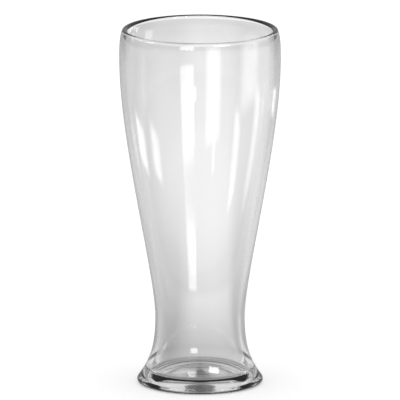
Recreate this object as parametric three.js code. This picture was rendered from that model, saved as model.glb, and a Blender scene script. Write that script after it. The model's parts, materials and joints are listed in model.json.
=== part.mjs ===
// Wheat beer glass: a tall blown bowl with a narrow waist, fused hot to a pressed, hollow foot.
// Millimetres, +Z up. The origin lies on the table, under the middle of the foot.

import * as THREE from "three";

// Outside of the bowl
const glassHeight = 180; // table to the top of the lip
const lipRadius = 39; // outside of the wall where the lip's round edge begins
const lipLean = 18; // degrees that the wall leans inwards at the lip
const lipHandle = 2; // how far the lean at the lip carries down the wall
const bellyRadius = 40.3; // widest part of the bowl
const bellyDrop = 15; // top of the lip down to the belly
const bellyRise = 10; // how far the belly stays upright above its widest part
const bellyHandle = 42; // how far the belly stays upright below its widest part
const waistRadius = 22.4; // narrowest part of the glass
const waistHeight = 33; // table to the waist
const waistHandle = 22; // how far the waist stays upright above its narrowest part

// Glass thickness of the bowl
const lipWall = 2.8;
const bellyWall = 2.8;
const waistWall = 2.9;

// Outside of the foot
const footRadius = 31.5; // widest part of the foot
const footEdge = 1.6; // radius of the foot's rounded edge
const flareSlope = 37; // degrees from upright at which the flare leaves that edge
const flareHandle = 10.5; // how far the flare keeps that slope
const flareNeck = 14; // how far the waist stays upright below its narrowest part
const standingRingWidth = 4.4; // flat ring that the glass stands on
const puntHeight = 5; // hollow under the middle of the foot
const puntReach = 8.5; // how far out the hollow's top stays level
const puntSlope = 63; // degrees from upright at which the hollow leaves the standing ring
const puntHandle = 5.6; // how far the hollow keeps that slope

// Inside of the foot
const floorThickness = 2.3; // hollow's top up to the middle of the floor
const floorEdge = 5.5; // table up to the low outer edge of the floor
const floorReach = 12.1; // how far the floor stays level at its middle and at its edge
const floorCorner = 1.3; // radius between the floor and the side
const flareWall = 2.75; // level thickness of the side beside that corner
const cavitySlope = 36; // degrees from upright at which the inside leaves that corner
const cavityHandle = 7; // how far the inside keeps that slope
const cavityNeck = 12; // how far the inside stays upright below the waist
const weldRise = 2; // top of that corner up to the flat weld between foot and bowl

// Steps along each curve and round the glass
const turnSteps = 60;
const wallSteps = 13;
const shoulderSteps = 7;
const lipSteps = 8;
const neckSteps = 6;
const footFlareSteps = 5;
const footCavitySteps = 2;
const edgeSteps = 6;
const puntSteps = 8;
const cornerSteps = 5;
const floorSteps = 8;

// Heights and radii that follow from the driving dimensions
const bellyHeight = glassHeight - bellyDrop;
const bellyBore = bellyRadius - bellyWall;
const waistBore = waistRadius - waistWall;
const floorHeight = puntHeight + floorThickness;
const cornerHeight = floorEdge + floorCorner;
const ringOuterRadius = footRadius - footEdge;
const ringInnerRadius = ringOuterRadius - standingRingWidth;

// The profile is drawn as radius and height, and turned about the height axis afterwards.
const at = (radius, height) => new THREE.Vector2(radius, height);
const along = (degreesFromUpright, length) => {
  const angle = THREE.MathUtils.degToRad(degreesFromUpright);
  return at(-Math.sin(angle) * length, Math.cos(angle) * length);
};

// A smooth curve between two points, drawn out along a handle at each end.
function curveBetween(start, startHandle, end, endHandle) {
  return new THREE.CubicBezierCurve(
    start,
    start.clone().add(startHandle),
    end.clone().add(endHandle),
    end,
  );
}

function arc(centre, radius, fromDegrees, toDegrees) {
  const from = THREE.MathUtils.degToRad(fromDegrees);
  const to = THREE.MathUtils.degToRad(toDegrees);
  return new THREE.EllipseCurve(centre.x, centre.y, radius, radius, from, to, to < from);
}

// Points along a stretch of a curve, both ends included.
function stretch(curve, steps, from = 0, to = 1) {
  const points = [];
  for (let step = 0; step <= steps; step += 1) {
    points.push(curve.getPoint(from + ((to - from) * step) / steps));
  }
  return points;
}

// Share of a rising curve at which it reaches a height.
function shareAtHeight(curve, height) {
  const closeEnough = 1e-9;
  let low = 0;
  let high = 1;
  while (high - low > closeEnough) {
    const middle = (low + high) / 2;
    if (curve.getPoint(middle).y < height) low = middle;
    else high = middle;
  }
  return low;
}

// The flare runs from the foot's rounded edge up to the waist, across the weld.
const edgeArc = arc(at(ringOuterRadius, footEdge), footEdge, -90, flareSlope);
const flare = curveBetween(
  edgeArc.getPoint(1),
  along(flareSlope, flareHandle),
  at(waistRadius, waistHeight),
  at(0, -flareNeck),
);

// The inside follows the flare, from the floor's rounded corner up to the waist.
const cavityRadius = flare.getPoint(shareAtHeight(flare, cornerHeight)).x - flareWall;
const cornerArc = arc(at(cavityRadius - floorCorner, cornerHeight), floorCorner, cavitySlope, -90);
const cavity = curveBetween(
  cornerArc.getPoint(0),
  along(cavitySlope, cavityHandle),
  at(waistBore, waistHeight),
  at(0, -cavityNeck),
);

// The weld is a flat ring across the wall, just above the floor's corner.
const weldHeight = cornerArc.getPoint(0).y + weldRise;
const flareWeld = shareAtHeight(flare, weldHeight);
const cavityWeld = shareAtHeight(cavity, weldHeight);
const weldOuter = at(flare.getPoint(flareWeld).x, weldHeight);
const weldInner = at(cavity.getPoint(cavityWeld).x, weldHeight);

// The lip is a half round, tilted with the wall that it ends.
const lipCentre = at(lipRadius, glassHeight - lipWall / 2).sub(
  at((Math.cos(THREE.MathUtils.degToRad(lipLean)) * lipWall) / 2, 0),
);
const lipArc = arc(lipCentre, lipWall / 2, lipLean, lipLean + 180);

// One side of the bowl's wall from the waist up to the lip.
function wallCurves(waistSide, bellySide, lipEnd) {
  const waist = at(waistSide, waistHeight);
  const belly = at(bellySide, bellyHeight);
  const rise = curveBetween(waist, at(0, waistHandle), belly, at(0, -bellyHandle));
  const shoulder = curveBetween(belly, at(0, bellyRise), lipEnd, along(lipLean, -lipHandle));
  return [...stretch(rise, wallSteps), ...stretch(shoulder, shoulderSteps)];
}

// From the weld up the outside, over the lip, and down the inside to the weld again.
function bowlProfile() {
  const outside = wallCurves(waistRadius, bellyRadius, lipArc.getPoint(0));
  const inside = wallCurves(waistBore, bellyBore, lipArc.getPoint(1)).reverse();
  return [
    weldInner,
    weldOuter,
    ...stretch(flare, neckSteps, flareWeld, 1).slice(1),
    ...outside,
    ...stretch(lipArc, lipSteps),
    ...inside,
    ...stretch(cavity, neckSteps, 1, cavityWeld).slice(0, -1),
    weldInner,
  ];
}

// From the hollow's top out over the standing ring, up to the weld, and down to the floor's middle.
function footProfile() {
  const punt = curveBetween(
    at(0, puntHeight),
    at(puntReach, 0),
    at(ringInnerRadius, 0),
    along(puntSlope, puntHandle),
  );
  const floor = curveBetween(
    cornerArc.getPoint(1),
    at(-floorReach, 0),
    at(0, floorHeight),
    at(floorReach, 0),
  );
  return [
    ...stretch(punt, puntSteps),
    ...stretch(edgeArc, edgeSteps),
    ...stretch(flare, footFlareSteps, 0, flareWeld).slice(0, -1),
    weldOuter,
    weldInner,
    ...stretch(cavity, footCavitySteps, cavityWeld, 0).slice(1),
    ...stretch(cornerArc, cornerSteps),
    ...stretch(floor, floorSteps),
  ];
}

// Turns a profile about the glass's axis, dropping points that repeat the one before.
function turned(name, profile, material) {
  const samePoint = 1e-3;
  const points = profile
    .filter((p, i) => i === 0 || p.distanceTo(profile[i - 1]) > samePoint)
    .map((p) => at(p.x < samePoint ? 0 : p.x, p.y));
  const geometry = new THREE.LatheGeometry(points, turnSteps).rotateX(Math.PI / 2);
  const mesh = new THREE.Mesh(geometry, material);
  mesh.name = name;
  return mesh;
}

function clearGlass() {
  return new THREE.MeshStandardMaterial({
    color: 0xe9eeee,
    roughness: 0.04,
    metalness: 0,
    transparent: true,
    opacity: 0.35,
  });
}

const glass = new THREE.Group();
glass.name = "wheat_beer_glass";
glass.add(turned("bowl", bowlProfile(), clearGlass()));
glass.add(turned("foot", footProfile(), clearGlass()));

export default glass;
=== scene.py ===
import json
from math import cos, pi, radians, sin, tan

import bmesh
import bpy
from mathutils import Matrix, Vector
from mathutils.geometry import interpolate_bezier

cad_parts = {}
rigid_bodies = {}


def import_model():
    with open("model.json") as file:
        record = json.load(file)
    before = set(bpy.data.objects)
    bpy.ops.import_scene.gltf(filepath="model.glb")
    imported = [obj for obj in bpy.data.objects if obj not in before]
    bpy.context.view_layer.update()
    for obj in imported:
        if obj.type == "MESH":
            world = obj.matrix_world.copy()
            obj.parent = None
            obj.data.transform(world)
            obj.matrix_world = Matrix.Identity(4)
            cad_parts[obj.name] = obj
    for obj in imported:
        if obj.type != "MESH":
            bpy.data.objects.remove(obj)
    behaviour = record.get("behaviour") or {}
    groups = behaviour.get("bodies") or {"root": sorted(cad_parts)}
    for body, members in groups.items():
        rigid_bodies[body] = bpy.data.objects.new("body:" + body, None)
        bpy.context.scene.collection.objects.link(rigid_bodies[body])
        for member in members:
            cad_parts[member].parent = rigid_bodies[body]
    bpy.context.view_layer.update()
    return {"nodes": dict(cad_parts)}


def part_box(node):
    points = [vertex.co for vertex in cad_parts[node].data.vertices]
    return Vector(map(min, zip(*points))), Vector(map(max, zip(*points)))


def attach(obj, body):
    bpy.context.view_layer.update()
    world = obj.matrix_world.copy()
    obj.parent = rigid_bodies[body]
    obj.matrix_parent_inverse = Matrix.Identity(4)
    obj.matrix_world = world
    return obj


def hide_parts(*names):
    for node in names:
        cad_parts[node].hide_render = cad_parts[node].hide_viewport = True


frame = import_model()
print("frame loaded:", ", ".join(sorted(frame["nodes"])))

mm = 0.001  # the frame is in metres, the sizes below are in millimetres
white = (1, 1, 1, 1)
scene = bpy.context.scene


def hexColour(code):
    # sRGB hex to linear RGBA
    channels = [int(code[i:i + 2], 16) / 255 for i in (1, 3, 5)]
    linear = [c / 12.92 if c <= 0.04045 else ((c + 0.055) / 1.055) ** 2.4 for c in channels]
    return (*linear, 1.0)


def addNode(tree, kind, settings=None, links=None):
    # a node with its settings, by socket or property name, and its incoming links
    node = tree.nodes.new(kind)
    for name, value in (settings or {}).items():
        if isinstance(name, int) or name in node.inputs:
            node.inputs[name].default_value = value
        else:
            setattr(node, name, value)
    for name, source in (links or {}).items():
        tree.links.new(source, node.inputs[name])
    return node


def tonesAlong(tree, value, stops):
    # tones at places along a value, eased between them
    first, last = stops[0][0], stops[-1][0]
    share = addNode(tree, "ShaderNodeMapRange", {"From Min": first, "From Max": last}, {"Value": value})
    node = addNode(tree, "ShaderNodeValToRGB", None, {"Fac": share.outputs["Result"]})
    node.color_ramp.interpolation = "EASE"
    points = node.color_ramp.elements
    while len(points) < len(stops):
        points.new(0.5)  # each point gets its place below
    for point, (place, tone) in zip(points, stops):
        point.position = (place - first) / (last - first)
        point.color = (tone, tone, tone, 1)
    return node.outputs["Color"]


def emptyTree(owner):
    owner.use_nodes = True
    owner.node_tree.nodes.clear()
    return owner.node_tree


# the glass: one profile, turned about Z
# heights from the table and radii from the axis
glass = {
    "lipRadius": 39,
    "lipLean": 18,          # degrees inwards
    "lipHandle": 2,
    "lipWall": 2.8,
    "bellyDrop": 15,        # below the top of the lip
    "bellyRise": 10,
    "bellyHandle": 42,
    "bellyWall": 2.8,
    "waistRadius": 22.4,
    "waistHeight": 33,
    "waistHandle": 22,
    "waistWall": 2.9,
    "cavityRadius": 25.56,  # inside, just above the floor
    "cavitySlope": 36,      # degrees from upright
    "cavityHandle": 7,
    "cavityNeck": 12,
    "floorCorner": 1.3,
    "floorEdge": 5.5,
    "floorKick": 1.8,
    "footEdge": 1.6,
    "flareSlope": 37,       # degrees from upright
    "flareHandle": 10.5,
    "flareNeck": 14,
    "ringWidth": 4.4,
    "puntHeight": 5.0,
    "puntReach": 8.5,
    "puntSlope": 63,        # degrees from upright
    "puntHandle": 5.6,
    "puntPoints": 28,       # points along each curve
    "edgePoints": 14,
    "flarePoints": 28,
    "wallPoints": 48,
    "shoulderPoints": 12,
    "lipPoints": 17,
    "cavityPoints": 24,
    "cornerPoints": 14,
    "floorPoints": 24,
    "turnSteps": 256,
    "mergeGap": 0.001,      # points nearer than this become one
}


def bezier(start, startPull, end, endPull, count):
    # points of a curve in the XZ plane, pulled along a handle at each end
    a = Vector((start[0], 0, start[1]))
    b = Vector((end[0], 0, end[1]))
    points = interpolate_bezier(
        a, a + Vector((startPull[0], 0, startPull[1])),
        b + Vector((endPull[0], 0, endPull[1])), b, count)
    return [(p.x, p.z) for p in points]


def arcPoints(centre, radius, fromDeg, toDeg, count):
    angles = [radians(fromDeg + (toDeg - fromDeg) * i / (count - 1)) for i in range(count)]
    return [(centre[0] + radius * cos(a), centre[1] + radius * sin(a)) for a in angles]


def glassProfile(g, height, bellyRadius, footRadius):
    # from the middle of the hollow under the foot, out and up to the lip, and down inside to the floor
    def slope(deg, length):
        return (-sin(radians(deg)) * length, cos(radians(deg)) * length)

    ringOuter = footRadius - g["footEdge"]
    ringInner = ringOuter - g["ringWidth"]
    punt = bezier((0, g["puntHeight"]), (g["puntReach"], 0),
                  (ringInner, 0), slope(g["puntSlope"], g["puntHandle"]), g["puntPoints"])

    edgeCentre = (ringOuter, g["footEdge"])
    edge = arcPoints(edgeCentre, g["footEdge"], -90, g["flareSlope"], g["edgePoints"])
    waist = (g["waistRadius"], g["waistHeight"])
    flare = bezier(edge[-1], slope(g["flareSlope"], g["flareHandle"]),
                   waist, (0, -g["flareNeck"]), g["flarePoints"])

    bellyHeight = height - g["bellyDrop"]
    half = g["lipWall"] / 2
    lean = g["lipLean"]
    lipCentre = (g["lipRadius"] - cos(radians(lean)) * half, height - half)
    lip = arcPoints(lipCentre, half, lean, lean + 180, g["lipPoints"])

    def wall(waistSide, bellySide, lipEnd):
        rise = bezier((waistSide, g["waistHeight"]), (0, g["waistHandle"]),
                      (bellySide, bellyHeight), (0, -g["bellyHandle"]), g["wallPoints"])
        shoulder = bezier((bellySide, bellyHeight), (0, g["bellyRise"]),
                          lipEnd, slope(lean, -g["lipHandle"]), g["shoulderPoints"])
        return rise + shoulder[1:]

    outside = wall(g["waistRadius"], bellyRadius, lip[0])
    inside = wall(g["waistRadius"] - g["waistWall"], bellyRadius - g["bellyWall"], lip[-1])
    cornerCentre = (g["cavityRadius"] - g["floorCorner"], g["floorEdge"] + g["floorCorner"])
    corner = arcPoints(cornerCentre, g["floorCorner"], g["cavitySlope"], -90, g["cornerPoints"])
    cavity = bezier(inside[0], (0, -g["cavityNeck"]),
                    corner[0], slope(g["cavitySlope"], g["cavityHandle"]), g["cavityPoints"])
    reach = corner[-1][0] / 2
    floor = bezier(corner[-1], (-reach, 0),
                   (0, g["floorEdge"] + g["floorKick"]), (reach, 0), g["floorPoints"])
    return (punt + edge + flare[1:] + outside[1:] + lip[1:]
            + inside[::-1][1:] + cavity[1:] + corner[1:] + floor[1:])


def turnProfile(name, profile, steps, mergeGap):
    bm = bmesh.new()
    verts = [bm.verts.new((r * mm, 0, z * mm)) for r, z in profile]
    edges = [bm.edges.new(pair) for pair in zip(verts, verts[1:])]
    bmesh.ops.spin(bm, geom=verts + edges, cent=(0, 0, 0), axis=(0, 0, 1),
                   angle=2 * pi, steps=steps, use_merge=True)
    bmesh.ops.remove_doubles(bm, verts=bm.verts, dist=mergeGap * mm)
    bmesh.ops.recalc_face_normals(bm, faces=bm.faces)
    for face in bm.faces:
        face.smooth = True
    mesh = bpy.data.meshes.new(name)
    bm.to_mesh(mesh)
    bm.free()
    piece = bpy.data.objects.new(name, mesh)
    scene.collection.objects.link(piece)
    return piece


# clear soda-lime glass, blown and fire-polished: sharp gloss, faint waves, grey where it is thick
sodaLime = {
    "ior": 1.5,
    "body": "#bcbcbc",      # light left after a stretch of glass
    "density": 22,          # per metre
    "waveSize": 18,         # mm between the waves of the blown wall
    "waveHeight": 0.01,     # mm
    "waveDetail": 1,
    "hazeSize": 9,          # mm between the spots that washing has dulled a little
    "hazeDetail": 3,
    "hazeFrom": 0.35,       # noise at which the haze starts
    "hazeTo": 0.75,         # noise at which it is full
    "haze": 0.03,           # roughness of the dullest spots
}


def sodaLimeGlass(s):
    material = bpy.data.materials.new("clear_soda_lime_glass")
    tree = emptyTree(material)
    place = addNode(tree, "ShaderNodeTexCoord").outputs["Object"]
    waves = addNode(tree, "ShaderNodeTexNoise",
                    {"Scale": 1 / (s["waveSize"] * mm), "Detail": s["waveDetail"]}, {"Vector": place})
    bump = addNode(tree, "ShaderNodeBump", {"Strength": 1.0, "Distance": s["waveHeight"] * mm},
                   {"Height": waves.outputs["Fac"]})
    spots = addNode(tree, "ShaderNodeTexNoise",
                    {"Scale": 1 / (s["hazeSize"] * mm), "Detail": s["hazeDetail"]}, {"Vector": place})
    haze = addNode(tree, "ShaderNodeMapRange",
                   {"From Min": s["hazeFrom"], "From Max": s["hazeTo"], "To Min": 0.0, "To Max": s["haze"]},
                   {"Value": spots.outputs["Fac"]})
    surface = addNode(tree, "ShaderNodeBsdfPrincipled",
                      {"Base Color": white, "IOR": s["ior"], "Transmission Weight": 1.0},
                      {"Normal": bump.outputs["Normal"], "Roughness": haze.outputs["Result"]})
    volume = addNode(tree, "ShaderNodeVolumeAbsorption",
                     {"Color": hexColour(s["body"]), "Density": s["density"]})
    addNode(tree, "ShaderNodeOutputMaterial", None,
            {"Surface": surface.outputs["BSDF"], "Volume": volume.outputs["Volume"]})
    return material


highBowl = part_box("bowl")[1]
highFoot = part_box("foot")[1]
profile = glassProfile(glass, highBowl.z / mm, highBowl.x / mm, highFoot.x / mm)
body = turnProfile("glass_body", profile, glass["turnSteps"], glass["mergeGap"])
body.data.materials.append(sodaLimeGlass(sodaLime))
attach(body, "root")
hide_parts("bowl", "foot")
print("glass body:", len(profile), "profile points,", len(body.data.polygons), "faces")


# the camera, far off with a long lens
view = {
    "elevation": 12,        # degrees above level
    "distance": 5000,
    "frameWidth": 200,      # width of the picture at the glass
    "aimHeight": 92.8,
    "sensor": 36,
    "clipEnd": 100000,
}


def makeCamera(v):
    data = bpy.data.cameras.new("camera")
    data.sensor_width = v["sensor"]
    data.lens = v["sensor"] * v["distance"] / v["frameWidth"]
    data.clip_end = v["clipEnd"] * mm
    camera = bpy.data.objects.new("camera", data)
    e = radians(v["elevation"])
    away = Vector((0, -cos(e), sin(e)))
    camera.location = Vector((0, 0, v["aimHeight"] * mm)) + away * v["distance"] * mm
    camera.rotation_euler = away.to_track_quat("Z", "Y").to_euler()
    scene.collection.objects.link(camera)
    scene.camera = camera


makeCamera(view)
print("camera set")


# the stage: a pale floor that is white to the camera and keeps the glass's soft shadow
# what shows of it through the glass is painted by place, for the photo's view: dark under the foot,
# a pool of light round it, dimmer sides, and a shadow behind the glass that is light in the middle
stage = {
    "floorRadius": 3000,
    "floorSegments": 96,
    "floorDrop": 0.2,       # a gap under the standing ring, so that no faces coincide
    "floorColour": "#e6e6e6",
    "cameraGlow": 0.3,      # lifts the lit floor to white
    "mirrorTone": 0.4,      # in reflections
    "pool": [(14, 0.3), (20, 0.2), (24, 0.12), (29, 0.5), (44, 0.6), (200, 0.88), (400, 1),
             (700, 1), (830, 0.96), (930, 0.8), (1100, 0.74)],
    "sides": [(60, 1), (350, 0.7)],
    # painted shade, darker towards the left
    "leftSide": [(-210, 1), (-130, 0.83), (-85, 0.86), (-40, 1)],
    "shadowDepth": 0.38,
    "shadowMiddle": 13,     # its middle line, to the right of the glass's
    "shadowAcross": [(0, 0), (14, 0.1), (40, 1), (55, 1), (120, 0)],
    "shadowAlong": [(-60, 0), (0, 1), (150, 0.95), (260, 0.55), (560, 0.2), (850, 0.3), (1500, 0)],
}


def makeFloor(s):
    bm = bmesh.new()
    bmesh.ops.create_circle(bm, cap_ends=True, segments=s["floorSegments"], radius=s["floorRadius"] * mm)
    bmesh.ops.translate(bm, verts=bm.verts, vec=(0, 0, -s["floorDrop"] * mm))
    mesh = bpy.data.meshes.new("floor")
    bm.to_mesh(mesh)
    bm.free()
    floor = bpy.data.objects.new("floor", mesh)
    scene.collection.objects.link(floor)
    material = bpy.data.materials.new("pale_floor")
    tree = emptyTree(material)
    paths = addNode(tree, "ShaderNodeLightPath").outputs
    place = addNode(tree, "ShaderNodeTexCoord").outputs["Object"]

    scaled = addNode(tree, "ShaderNodeVectorMath", {"operation": "SCALE", "Scale": 1 / mm}, {0: place})
    inMm = scaled.outputs[0]
    axes = addNode(tree, "ShaderNodeSeparateXYZ", None, {"Vector": inMm}).outputs
    away = addNode(tree, "ShaderNodeVectorMath", {"operation": "LENGTH"}, {0: inMm}).outputs["Value"]
    aside = addNode(tree, "ShaderNodeMath", {"operation": "SUBTRACT", 1: s["shadowMiddle"]}, {0: axes["X"]})
    across = addNode(tree, "ShaderNodeMath", {"operation": "ABSOLUTE"}, {0: aside.outputs[0]}).outputs[0]
    shadow = addNode(tree, "ShaderNodeMath", {"operation": "MULTIPLY"},
                     {0: tonesAlong(tree, across, s["shadowAcross"]),
                      1: tonesAlong(tree, axes["Y"], s["shadowAlong"])})
    lit = addNode(tree, "ShaderNodeMath", {"operation": "MULTIPLY_ADD", 1: -s["shadowDepth"], 2: 1.0},
                  {0: shadow.outputs[0]})
    sides = tonesAlong(tree, across, s["sides"])
    leftSide = tonesAlong(tree, axes["X"], s["leftSide"])
    tone = tonesAlong(tree, away, s["pool"])
    for share in (sides, leftSide, lit.outputs[0]):
        tone = addNode(tree, "ShaderNodeMath", {"operation": "MULTIPLY"}, {0: tone, 1: share}).outputs[0]

    matt = addNode(tree, "ShaderNodeBsdfDiffuse", {"Color": hexColour(s["floorColour"])}).outputs[0]
    mirrored = addNode(tree, "ShaderNodeEmission", {"Color": white, "Strength": s["mirrorTone"]}).outputs[0]
    through = addNode(tree, "ShaderNodeEmission", {"Color": white}, {"Strength": tone}).outputs[0]
    glow = addNode(tree, "ShaderNodeEmission", {"Color": white, "Strength": s["cameraGlow"]}).outputs[0]
    seen = addNode(tree, "ShaderNodeAddShader", None, {0: matt, 1: glow}).outputs[0]
    looks = {"Is Glossy Ray": mirrored, "Is Transmission Ray": through, "Is Camera Ray": seen}
    surface = matt
    for ray, look in looks.items():
        mix = addNode(tree, "ShaderNodeMixShader", None, {0: paths[ray], 1: surface, 2: look})
        surface = mix.outputs[0]
    addNode(tree, "ShaderNodeOutputMaterial", None, {"Surface": surface})
    floor.data.materials.append(material)


# what surrounds the stage: white to the camera and as light on the floor, an even grey in reflections
# through the glass its tones go by height, from the horizon at 0 to overhead at 1, dark near the floor
# a dark flag in front and behind, wider towards its top, gives the dark hump in the base
surroundings = {
    "plain": 1.0,
    "mirrored": 0.5,
    "through": [(0, 0.12), (0.06, 0.2), (0.11, 0.8), (0.2, 0.9), (0.27, 0.6), (0.33, 0.95), (1, 0.8)],
    "flag": [(-0.1, 0.12), (-0.075, 0.3), (-0.045, 1)],
    "flagWidens": 0.27,
}


def makeWorld(s):
    world = bpy.data.worlds.new("studio")
    scene.world = world
    tree = emptyTree(world)
    paths = addNode(tree, "ShaderNodeLightPath").outputs
    place = addNode(tree, "ShaderNodeTexCoord").outputs["Generated"]
    axes = addNode(tree, "ShaderNodeSeparateXYZ", None, {"Vector": place}).outputs
    across = addNode(tree, "ShaderNodeMath", {"operation": "ABSOLUTE"}, {0: axes["X"]}).outputs[0]
    past = addNode(tree, "ShaderNodeMath", {"operation": "MULTIPLY_ADD", 1: -s["flagWidens"]},
                   {0: axes["Z"], 2: across}).outputs[0]
    plain = addNode(tree, "ShaderNodeBackground", {"Color": white, "Strength": s["plain"]}).outputs[0]
    mirrored = addNode(tree, "ShaderNodeBackground", {"Color": white, "Strength": s["mirrored"]}).outputs[0]
    through = addNode(tree, "ShaderNodeBackground", None,
                      {"Color": tonesAlong(tree, axes["Z"], s["through"]),
                       "Strength": tonesAlong(tree, past, s["flag"])}).outputs[0]
    looks = {"Is Glossy Ray": mirrored, "Is Transmission Ray": through}
    surface = plain
    for ray, look in looks.items():
        mix = addNode(tree, "ShaderNodeMixShader", None, {0: paths[ray], 1: surface, 2: look})
        surface = mix.outputs[0]
    addNode(tree, "ShaderNodeOutputWorld", None, {"Surface": surface})


# upright softboxes: azimuth and width in degrees, to the right of the camera
# range from the axis, edges above the table, and the share over which the light fades in
# those for the back wall give the streaks, and show only when mirrored past the front wall
# those for the front show only in first reflections, on the lip, the waist and the foot
softboxes = [
    {"name": "right_key", "wall": "back", "azimuth": 20.5, "width": 25, "range": 1300,
     "low": 25, "high": 289, "fade": 0.16, "radiance": 3.6},
    {"name": "left_key", "wall": "back", "azimuth": -24, "width": 36, "range": 140,
     "low": 131, "high": 147, "fade": 0.35, "radiance": 3.6},
    {"name": "left_tail", "wall": "back", "azimuth": -25.5, "width": 6, "range": 350,
     "low": 148, "high": 160, "fade": 0.3, "radiance": 2.5},
    {"name": "left_side", "wall": "back", "azimuth": -68.5, "width": 16, "range": 600,
     "low": 138, "high": 166, "fade": 0.3, "radiance": 3.5},
    {"name": "left_back", "wall": "back", "azimuth": -112, "width": 18, "range": 600,
     "low": 84, "high": 116, "fade": 0.3, "radiance": 2.5},
    {"name": "left_shoulder", "wall": "back", "azimuth": -98, "width": 54, "range": 110,
     "low": 129, "high": 150, "fade": 0.35, "radiance": 2.4},
    {"name": "right_side", "wall": "back", "azimuth": 94, "width": 22, "range": 170,
     "low": 105, "high": 128, "fade": 0.25, "radiance": 4},
    {"name": "right_back", "wall": "back", "azimuth": 136, "width": 32, "range": 170,
     "low": 94, "high": 118, "fade": 0.25, "radiance": 4},
    {"name": "lip_light", "wall": "front", "azimuth": -18, "width": 24, "range": 350,
     "low": 225, "high": 330, "fade": 0.2, "radiance": 7},
    {"name": "waist_light", "wall": "front", "azimuth": -14, "width": 20, "range": 350,
     "low": 36, "high": 74, "fade": 0.2, "radiance": 9},
    {"name": "foot_light", "wall": "front", "azimuth": 33, "width": 28, "range": 1300,
     "low": 640, "high": 980, "fade": 0.2, "radiance": 16},
]
outsideDepth = 0.5          # transmission depth of a ray that has passed no glass is below this
backWallDepth = 2.5         # transmission depth times glossy depth is above this past the front wall


def makeSoftbox(s):
    low, high = s["low"], s["high"]
    data = bpy.data.lights.new(s["name"], "AREA")
    data.shape = "RECTANGLE"
    data.size = 2 * s["range"] * tan(radians(s["width"] / 2)) * mm
    data.size_y = (high - low) * mm
    data.energy = s["radiance"] * pi * data.size * data.size_y
    lamp = bpy.data.objects.new(s["name"], data)
    a = radians(s["azimuth"])
    towards = Vector((sin(a), -cos(a), 0))
    lamp.location = towards * s["range"] * mm + Vector((0, 0, (low + high) / 2 * mm))
    lamp.rotation_euler = towards.to_track_quat("Z", "Y").to_euler()
    lamp.visible_camera = False
    lamp.visible_diffuse = False
    lamp.visible_glossy = s["wall"] == "front"
    lamp.visible_transmission = s["wall"] == "back"
    scene.collection.objects.link(lamp)

    tree = emptyTree(data)
    depths = addNode(tree, "ShaderNodeLightPath").outputs
    passed, bounced = depths["Transmission Depth"], depths["Glossy Depth"]
    outside = addNode(tree, "ShaderNodeMath", {"operation": "LESS_THAN", 1: outsideDepth}, {0: passed})
    product = addNode(tree, "ShaderNodeMath", {"operation": "MULTIPLY"}, {0: passed, 1: bounced})
    mirrored = addNode(tree, "ShaderNodeMath", {"operation": "GREATER_THAN", 1: backWallDepth},
                       {0: product.outputs[0]})
    shown = addNode(tree, "ShaderNodeMath", {"operation": "ADD"},
                    {0: outside.outputs[0], 1: mirrored.outputs[0]})
    light = shown.outputs[0]
    place = addNode(tree, "ShaderNodeNewGeometry").outputs["Parametric"]
    axes = addNode(tree, "ShaderNodeSeparateXYZ", None, {"Vector": place}).outputs
    for axis in ("X", "Y"):
        # 0 at both edges of the box, 0.5 in its middle
        inwards = addNode(tree, "ShaderNodeMath", {"operation": "PINGPONG", 1: 0.5}, {0: axes[axis]})
        edge = addNode(tree, "ShaderNodeMapRange",
                       {"interpolation_type": "SMOOTHSTEP", "From Max": s["fade"]},
                       {"Value": inwards.outputs[0]})
        faded = addNode(tree, "ShaderNodeMath", {"operation": "MULTIPLY"},
                        {0: light, 1: edge.outputs["Result"]})
        light = faded.outputs[0]
    glow = addNode(tree, "ShaderNodeEmission", None, {"Strength": light})
    addNode(tree, "ShaderNodeOutputLight", None, {"Surface": glow.outputs[0]})


makeFloor(stage)
makeWorld(surroundings)
for box in softboxes:
    makeSoftbox(box)
print("stage, world and", len(softboxes), "softboxes made")

scene.view_settings.view_transform = "Standard"
